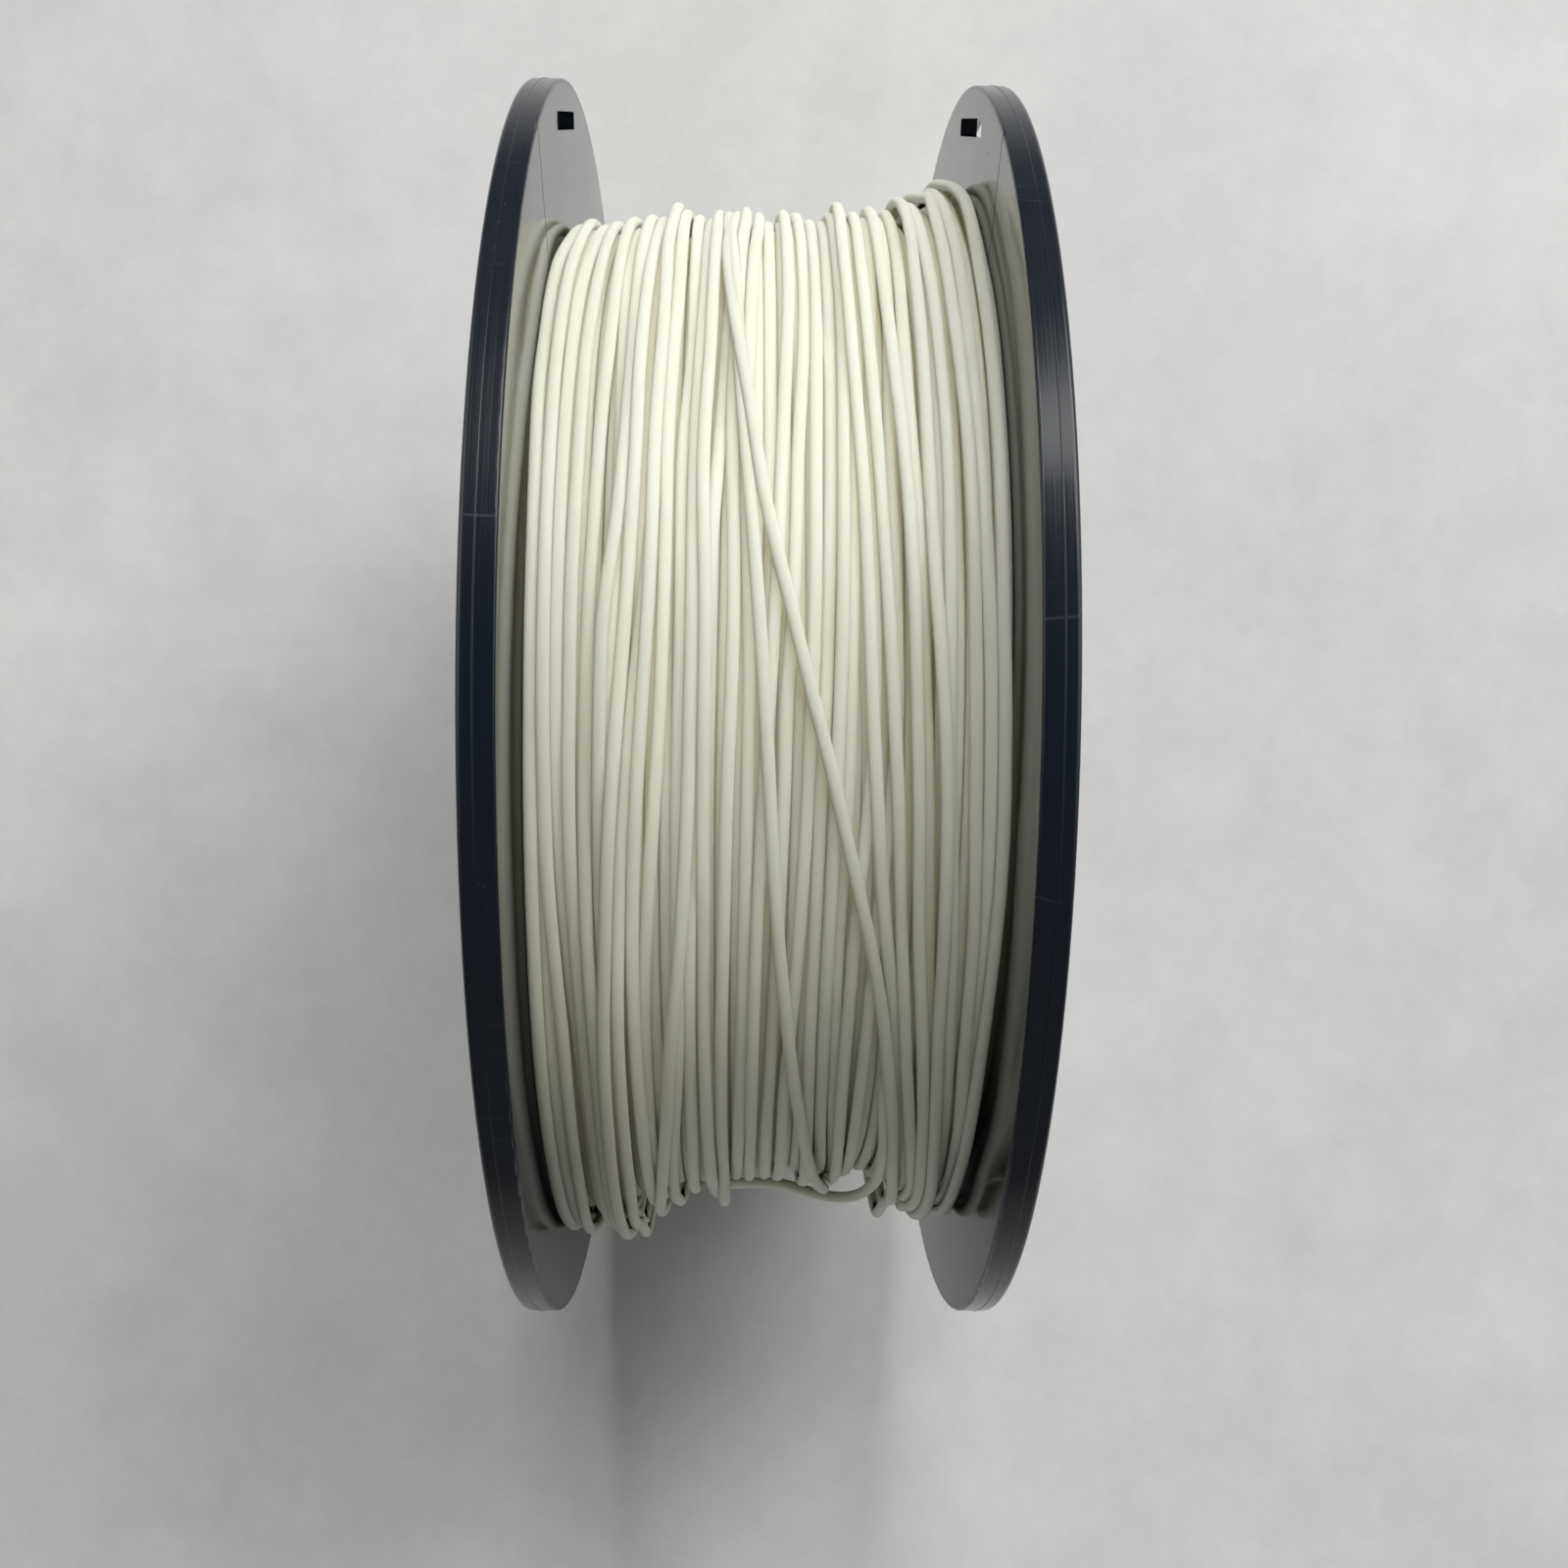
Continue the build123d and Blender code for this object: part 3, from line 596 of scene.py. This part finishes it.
def open_turn(y, r, seed, step, sides):
    """One turn from far side to far side with closed ends: vertices in mm, and faces."""
    picked = np.arange(0, len(SPAN), step)
    phi = np.radians(SPAN_DEG[picked])
    centres = around(phi, y[picked], r[picked])
    tangents = np.gradient(centres, axis=0)
    # at both ends the next turn goes on in the same direction
    for end in (0, -1):
        tangents[end] = (-math.cos(phi[end]), 0, -math.sin(phi[end]))
    slow, quick = ripples(phi, np.random.default_rng(seed))
    fade = np.cos(phi / 2) ** 2
    section = np.arange(sides) * 2 * np.pi / sides
    verts = tube(phi, centres, tangents, RHO * (1 + fade * (slow + quick)), section)
    rings = len(picked)
    # end caps as strips of quads across the circle, on their own vertices
    caps = []
    for base, flip in ((0, False), ((rings - 1) * sides, True)):
        first = len(verts)
        verts = np.concatenate([verts, verts[base:base + sides]])
        for q in range(sides // 2 - 1):
            quad = [first + q, first + q + 1, first + sides - 2 - q, first + sides - 1 - q]
            caps.append(quad[::-1] if flip else quad)
    return verts, np.concatenate([grid_faces(rings, sides, closed=False), np.array(caps)])


def depth_at(verts):
    """How far each vertex lies under the envelope, mm."""
    r = np.hypot(verts[:, 0], verts[:, 2])
    phi = np.mod(np.arctan2(-verts[:, 0], verts[:, 2]), 2 * np.pi)
    row = np.rint(phi / (2 * np.pi) * NPHI).astype(int) % NPHI
    column = np.clip(np.rint((verts[:, 1] + WALL) / DY).astype(int), 0, NY - 1)
    return envelope[row, column] - r


# =================================================================== materials
class Nodes:
    """A node tree with short calls for its nodes; values may be numbers or sockets."""

    def __init__(self, tree):
        self.tree = tree

    def fill(self, node, inputs):
        for key, value in inputs.items():
            socket = node.inputs[key]
            if isinstance(value, bpy.types.NodeSocket):
                self.tree.links.new(value, socket)
            else:
                socket.default_value = (*value, 1.0) if socket.type == "RGBA" else value

    def add(self, kind, inputs=None, **settings):
        node = self.tree.nodes.new("ShaderNode" + kind)
        for key, value in settings.items():
            setattr(node, key, value)
        self.fill(node, inputs or {})
        return node

    def object_coords(self):
        return self.add("TexCoord").outputs["Object"]

    def attribute(self, name):
        return self.add("Attribute", attribute_name=name).outputs["Fac"]

    def split(self, vector):
        return self.add("SeparateXYZ", {0: vector}).outputs

    def math(self, operation, a, b=None, clamp=False):
        inputs = {0: a} if b is None else {0: a, 1: b}
        return self.add("Math", inputs, operation=operation, use_clamp=clamp).outputs[0]

    def plus(self, a, b, clamp=False):
        return self.math("ADD", a, b, clamp)

    def times(self, a, b):
        return self.math("MULTIPLY", a, b)

    def vector(self, operation, a, b=None):
        inputs = {0: a} if b is None else {0: a, 1: b}
        node = self.add("VectorMath", inputs, operation=operation)
        return node.outputs["Value" if operation in ("LENGTH", "DOT_PRODUCT") else "Vector"]

    def remap(self, value, source, to=(0.0, 1.0), kind="LINEAR"):
        inputs = {"From Min": source[0], "From Max": source[1],
                  "To Min": to[0], "To Max": to[1], "Value": value}
        return self.add("MapRange", inputs, interpolation_type=kind).outputs["Result"]

    def mix(self, factor, a, b, kind="RGBA"):
        inputs = {"Factor": factor, "A": a, "B": b}
        return self.add("Mix", inputs, data_type=kind).outputs["Result"]

    def noise(self, vector, scale, detail=3, rough=0.55, distortion=0.0):
        return self.add("TexNoise", {
            "Scale": scale, "Detail": detail, "Roughness": rough,
            "Distortion": distortion, "Vector": vector}).outputs["Fac"]

    def bump(self, height, distance, strength, normal=None):
        inputs = {"Distance": distance, "Strength": strength, "Height": height}
        if normal is not None:
            inputs["Normal"] = normal
        return self.add("Bump", inputs).outputs["Normal"]

    def polar(self, vector, axial, radial, turn):
        """(axial, radial, around) coordinates, scaled per metre and per turn; and the radius."""
        x, y, z = self.split(vector)
        r = self.math("SQRT", self.plus(self.times(x, x), self.times(z, z)))
        angle = self.math("ARCTAN2", x, z)
        scaled = self.add("CombineXYZ", {
            0: self.times(y, axial), 1: self.times(r, radial),
            2: self.times(angle, turn / 6.2832)})
        return scaled.outputs[0], r

    def blend_to_output(self, factor, a, b):
        mixed = self.add("MixShader", {0: factor, 1: a.outputs[0], 2: b.outputs[0]})
        self.fill(self.tree.nodes["Material Output"], {"Surface": mixed.outputs[0]})


def new_material(name):
    mat = bpy.data.materials.new(name)
    mat.use_nodes = True
    n = Nodes(mat.node_tree)
    return mat, n, n.tree.nodes["Principled BSDF"]


def filament_material():
    mat, n, bsdf = new_material("filament_ivory")
    coords = n.object_coords()
    depth, strand = n.attribute("depth"), n.attribute("strand")
    # painted light: strands lying deeper under the envelope are painted lighter and yellower, in
    # place of the light that passes through the strands into the gaps between them
    deep = n.remap(depth, source=(0.35, 2.3))
    base = n.mix(deep, a=(0.765, 0.770, 0.642), b=(0.83, 0.816, 0.64))
    # each turn a little lighter or darker than the next, with a slow mottle
    tone = n.remap(strand, source=(0.0, 1.0), to=(-0.02, 0.02))
    mottle = n.remap(n.noise(coords, scale=60, detail=2), source=(0.3, 0.7), to=(-0.015, 0.015))
    # painted shade: the turns beside the left flange are painted darker, for the flange's shade
    # on them, more so towards the bottom
    place = n.split(coords)
    beside = n.remap(place[1], source=(-0.0175, -0.0205))
    beside = n.times(beside, n.remap(place[0], source=(-0.07, 0.05), to=(0.07, 0.22)))
    value = n.plus(n.plus(tone, mottle), 1.0)
    tinted = n.add("HueSaturation", {
        "Value": n.math("SUBTRACT", value, beside), "Color": base})
    # light wanders from strand to strand, so each one shades more flatly than its own roundness
    geometry = n.add("NewGeometry").outputs["Normal"]
    across = n.vector("MULTIPLY", coords, (1.0, 0.0, 1.0))
    radial = n.vector("NORMALIZE", across)
    flatter = n.vector("NORMALIZE", n.mix(0.62, a=geometry, b=radial, kind="VECTOR"))
    coarse = n.noise(coords, scale=420, detail=2, rough=0.5)
    fine = n.noise(coords, scale=2600, detail=4, rough=0.6)
    normal = n.bump(coarse, distance=0.00010, strength=0.35, normal=flatter)
    normal = n.bump(fine, distance=0.00003, strength=0.55, normal=normal)
    rough = n.noise(coords, scale=900, detail=3)
    n.fill(bsdf, {
        "Base Color": tinted.outputs["Color"],
        "Subsurface Weight": 1.0, "Subsurface Radius": (1.0, 0.97, 0.86),
        "Subsurface Scale": 0.0022, "IOR": 1.46,
        "Roughness": n.remap(rough, source=(0.3, 0.7), to=(0.40, 0.56)), "Normal": normal})
    # part of the light goes through a strand and reaches the ones beside and below it
    through = n.add("BsdfTransparent", {"Color": (1.0, 0.97, 0.86)})
    shadow = n.add("LightPath").outputs["Is Shadow Ray"]
    n.blend_to_output(n.times(shadow, 0.66), bsdf, through)
    return mat


def flange_material():
    mat, n, bsdf = new_material("flange_black_gloss")
    coords = n.object_coords()
    # fine lines that run around the rim, and faint ones across the faces
    lines, radius = n.polar(coords, axial=9000.0, radial=1600.0, turn=6)
    streak = n.noise(lines, scale=1.0, detail=5, rough=0.7)
    wear_coords = n.polar(coords, axial=2600.0, radial=420.0, turn=26)[0]
    wear = n.noise(wear_coords, scale=1.0, detail=4, rough=0.65)
    rim = n.remap(radius, source=(0.0985, 0.0996))
    smudge = n.noise(coords, scale=26, detail=4, rough=0.6, distortion=0.4)
    # sparse long scratches along the edges of stretched cells
    stretched = n.add("Mapping", {
        "Scale": (1.0, 0.2, 4.2), "Rotation": (0.2, 0.5, 0.1), "Vector": coords})
    cells = n.add("TexVoronoi", {"Vector": stretched.outputs[0]}, feature="DISTANCE_TO_EDGE")
    n.fill(cells, {"Scale": 38})
    scratch = n.remap(cells.outputs["Distance"], source=(0.0, 0.006), to=(1.0, 0.0))
    sparse = n.remap(n.noise(coords, scale=70, detail=2), source=(0.5, 0.62))
    scratch = n.times(scratch, sparse)
    rough = n.remap(smudge, source=(0.32, 0.72), to=(0.06, 0.13))
    rough = n.plus(rough, n.times(rim, n.remap(streak, source=(0.35, 0.7), to=(0.0, 0.20))))
    rough = n.plus(rough, n.times(scratch, 0.16), clamp=True)
    specks = n.noise(coords, scale=1500, detail=2, rough=0.5)
    dust = n.remap(specks, source=(0.69, 0.74))
    dust = n.times(dust, n.remap(smudge, source=(0.45, 0.65), to=(0.0, 0.35)))
    colour = n.mix(wear, a=(0.0040, 0.0078, 0.0145), b=(0.0060, 0.0105, 0.0180))
    colour = n.mix(dust, a=colour, b=(0.10, 0.10, 0.105))
    colour = n.mix(n.times(scratch, 0.25), a=colour, b=(0.06, 0.065, 0.075))
    swell = n.noise(coords, scale=190, detail=2, rough=0.5)
    normal = n.bump(swell, distance=0.00005, strength=0.22)
    normal = n.bump(streak, distance=0.000012, strength=0.35, normal=normal)
    normal = n.bump(scratch, distance=0.00002, strength=0.3, normal=normal)
    n.fill(bsdf, {"Base Color": colour, "Roughness": rough, "IOR": 1.34, "Normal": normal})
    return mat


def core_material():
    mat, n, bsdf = new_material("core_black_matt")
    grain = n.noise(n.object_coords(), scale=1400, detail=3, rough=0.6)
    n.fill(bsdf, {
        "Base Color": n.mix(grain, a=(0.011, 0.0115, 0.013), b=(0.02, 0.0205, 0.0225)),
        "Roughness": n.remap(grain, source=(0.3, 0.7), to=(0.42, 0.58)),
        "Normal": n.bump(grain, distance=0.00004, strength=0.5)})
    return mat


def paper_material():
    mat, n, bsdf = new_material("label_paper")
    coords = n.object_coords()
    fibre = n.noise(coords, scale=1800, detail=5, rough=0.7)
    slow = n.noise(coords, scale=45, detail=2)
    colour = n.mix(slow, a=(0.74, 0.735, 0.71), b=(0.80, 0.795, 0.775))
    n.fill(bsdf, {
        "Base Color": n.mix(n.times(fibre, 0.12), a=colour, b=(0.60, 0.59, 0.56)),
        "Roughness": n.remap(fibre, source=(0.3, 0.7), to=(0.48, 0.62)),
        "Normal": n.bump(fibre, distance=0.00002, strength=0.5)})
    return mat


BACKDROP = (0.60, 0.60, 0.595)


def floor_material():
    mat, n, bsdf = new_material("stage_floor")
    coords = n.object_coords()
    broad = n.noise(coords, scale=9, detail=4, rough=0.55)
    middle = n.noise(coords, scale=55, detail=3, rough=0.5)
    fibre = n.noise(coords, scale=190, detail=5, rough=0.65, distortion=0.3)
    mottle = n.plus(n.times(broad, 0.40), n.plus(n.times(middle, 0.35), n.times(fibre, 0.25)))
    pale = n.mix(n.remap(mottle, source=(0.38, 0.62)),
                 a=(0.68, 0.682, 0.682), b=(0.775, 0.776, 0.774))
    # painted reflection: for glossy rays only, the floor from 0.2 m out on the -X side is painted
    # dark, so the gloss of the rims shows a darker room beyond the pale floor; seen directly it
    # stays pale
    ray = n.add("LightPath").outputs
    away = n.times(n.split(coords)[0], -1.0)
    far = n.remap(away, source=(0.20, 0.62), to=(0.0, 0.85))
    n.fill(bsdf, {
        "Base Color": n.mix(n.times(far, ray["Is Glossy Ray"]), a=pale, b=(0.03, 0.03, 0.032)),
        "Roughness": 0.55, "Specular IOR Level": 0.25})
    # seen from the side, the far floor passes into the backdrop without a horizon
    fade = n.remap(n.vector("LENGTH", coords), source=(0.45, 1.7), kind="SMOOTHSTEP")
    back = n.add("Emission", {"Color": BACKDROP})
    n.blend_to_output(n.times(fade, ray["Is Camera Ray"]), bsdf, back)
    return mat


FILAMENT = filament_material()
FLANGE = flange_material()
CORE = core_material()
PAPER = paper_material()


# ============================================================== build the pieces
def finish_piece(ob, node):
    ob.data.materials.append(FILAMENT)
    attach(ob, "root")
    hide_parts(node)


def strand_piece(name, node, builder, turns, seed, **detail):
    """Build several (place, radius) turns as one object that replaces a frame node."""
    verts, faces, depths, tones = [], [], [], []
    base = 0
    for k, (y, r) in enumerate(turns):
        points, quads = builder(y, r, seed=seed + k, **detail)
        verts.append(points * MM)
        faces.append(quads + base)
        # the depth attribute drives the painted gap light of the filament material: deeper
        # vertices are painted lighter and yellower
        depths.append(depth_at(points))
        tones.append(np.full(len(points), ((seed + k) * 0.37) % 1.0))
        base += len(points)
    attributes = {"depth": np.concatenate(depths), "strand": np.concatenate(tones)}
    ob = new_object(name, np.concatenate(verts), np.concatenate(faces), attributes)
    finish_piece(ob, node)


def build_strands():
    inner, outer = wound.layers
    strand_piece("winding_layer_inner", "filament_winding", closed_turn, inner,
                 seed=1, segments=300, sides=8)
    chunk = 17
    for k in range(0, len(outer), chunk):
        strand_piece("winding_layer_outer_%d" % (k // chunk + 1), "filament_winding",
                     closed_turn, outer[k:k + chunk], seed=40 + k, segments=360, sides=10)
    joined = join_turns()
    labels = [q for q in wound.by_bottom if q != CROSSING]
    chunk = 12
    for k in range(0, len(labels), chunk):
        strand_piece("open_turns_%d" % (k // chunk + 1), "filament_outer_turns", open_turn,
                     [joined[q] for q in labels[k:k + chunk]], seed=200 + k, step=2, sides=16)
    strand_piece("crossing_strand", "filament_crossing_strand", open_turn,
                 [joined[CROSSING]], seed=300, step=1, sides=18)
    strand_piece("slack_strand", "filament_slack_loop", closed_turn,
                 [(SLACK_Y, wound.slack_r)], seed=310, segments=720, sides=18)


def build_drum():
    """Closed drum under the strands, so that nothing is seen through the gaps."""
    sides = 240
    pitch, wave, rise = 1.76, 0.22, 0.25            # its grooves along the axis
    phi = np.arange(sides) * 2 * np.pi / sides
    places = np.linspace(-WALL + 0.06, WALL - 0.06, 120)
    rings = []
    for y in places:
        column = int(np.clip(round((y + WALL) / DY), 0, NY - 1))
        r = drum_r[:, column][::NPHI // sides] + rise + wave * math.cos(2 * math.pi * y / pitch)
        rings.append(around(phi, np.full(sides, y), r))
    for y in places[::-1]:
        rings.append(around(phi, np.full(sides, y), CORE_R))
    verts = np.concatenate(rings)
    faces = grid_faces(len(rings), sides)[:, [0, 3, 2, 1]]
    # a depth of 2.6 mm gives the drum the deepest colour of the filament material, the painted
    # light of the gaps
    attributes = {"depth": np.full(len(verts), 2.6), "strand": np.full(len(verts), 0.5)}
    finish_piece(new_object("winding_packed_turns", verts * MM, faces, attributes),
                 "filament_winding")


def paint_node(name, mat):
    """Paint a piece of the frame, found in the scene or else among the frame's nodes."""
    ob = bpy.data.objects.get(name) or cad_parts[name]
    if not len(ob.material_slots):
        ob.data.materials.append(mat)
    for slot in ob.material_slots:
        slot.material = mat


build_strands()
build_drum()
for name, mat in (("flange_left", FLANGE), ("flange_right", FLANGE), ("winding_core", CORE),
                  ("filament_start_end", FILAMENT), ("spool_label", PAPER)):
    paint_node(name, mat)


# ======================================================================= stage
def build_floor():
    half, z = 6, cad_box[0][2]
    corners = [(-half, -half, z), (half, -half, z), (half, half, z), (-half, half, z)]
    floor = new_object("stage_floor", corners, [(0, 1, 2, 3)], smooth_shade=False)
    floor.data.materials.append(floor_material())


def build_world():
    world = bpy.data.worlds.new("studio")
    bpy.context.scene.world = world
    world.use_nodes = True
    n = Nodes(world.node_tree)
    ray_direction = n.add("TexCoord").outputs["Generated"]

    def lobe(direction, power, strength):
        """A soft patch of brightness in the room around a direction."""
        axis = np.array(direction, float)
        axis /= np.linalg.norm(axis)
        facing = n.math("MAXIMUM", n.vector("DOT_PRODUCT", ray_direction, tuple(axis)), 0.0)
        return n.times(n.math("POWER", facing, power), strength)

    room = 0.03
    # above, towards -X and towards +X
    for direction, power, strength in (((0.0, 0.0, 1.0), 1.0, 0.07),
                                       ((-0.95, 0.08, 0.25), 5.0, 0.30),
                                       ((0.93, 0.0, 0.30), 2.0, 0.19)):
        room = n.plus(lobe(direction, power, strength), room)
    ray = n.add("LightPath").outputs
    # the gloss of the flanges' outer faces meets two soft patches that light nothing else
    for side in (-0.80, 0.80):
        patch = lobe((-0.35, side, 0.40), power=7.0, strength=3.2)
        room = n.plus(room, n.times(patch, ray["Is Glossy Ray"]))
    tint = (1.0, 0.995, 0.98)
    colour = n.add("CombineColor", {k: n.times(room, tint[k]) for k in range(3)})
    seen = n.mix(ray["Is Camera Ray"], a=colour.outputs[0], b=BACKDROP)
    n.fill(n.tree.nodes["Background"], {"Color": seen, "Strength": 1.0})


def window(name, azimuth, elevation, distance, width, height, power):
    """Area light aimed at the origin; azimuth runs from -X towards +Y, in degrees."""
    azimuth, elevation = math.radians(azimuth), math.radians(elevation)
    light = bpy.data.lights.new(name, "AREA")
    light.shape = "RECTANGLE"
    light.size = width
    light.size_y = height
    light.energy = power
    light.color = (1.0, 0.995, 0.98)
    ob = add_to_scene(name, light)
    place = Vector((-distance * math.cos(elevation) * math.cos(azimuth),
                    distance * math.cos(elevation) * math.sin(azimuth),
                    distance * math.sin(elevation)))
    ob.location = place
    ob.rotation_euler = (-place).to_track_quat("-Z", "Y").to_euler()
    ob.visible_camera = False


def camera_axes(tilt_x, tilt_y, tilt_z):
    """Rotation by small tilts in radians; its rows are the camera's axes before the
    quarter turn that lays the view's right along +Y and its up along -X."""
    def cos_sin(angle):
        return math.cos(angle), math.sin(angle)
    c, s = cos_sin(tilt_x)
    about_x = np.array([[1, 0, 0], [0, c, -s], [0, s, c]])
    c, s = cos_sin(tilt_y)
    about_y = np.array([[c, 0, s], [0, 1, 0], [-s, 0, c]])
    c, s = cos_sin(tilt_z)
    about_z = np.array([[c, -s, 0], [s, c, 0], [0, 0, 1]])
    return about_z @ about_y @ about_x


def build_camera():
    data = bpy.data.cameras.new("camera")
    camera = add_to_scene("camera", data)
    axes = camera_axes(tilt_x=0.00724, tilt_y=0.02277, tilt_z=-0.00794)
    place = np.array([11.296, -2.4856, 282.467]) * MM
    turned = (-axes[:, 1], axes[:, 0], axes[:, 2])
    camera.matrix_world = Matrix([[*row, at] for row, at in zip(turned, place)] + [[0, 0, 0, 1]])
    data.sensor_width = 36
    data.lens = 37.250325
    data.clip_start = 0.005
    data.clip_end = 50
    bpy.context.scene.camera = camera


build_floor()
build_world()
window("tall_window", azimuth=1.0, elevation=47.0, distance=3.2, width=0.45, height=1.6, power=45)
window("wide_window", azimuth=36.0, elevation=36.0, distance=3.0, width=1.95, height=1.75,
       power=64)
build_camera()
bpy.context.scene.view_settings.view_transform = "Standard"
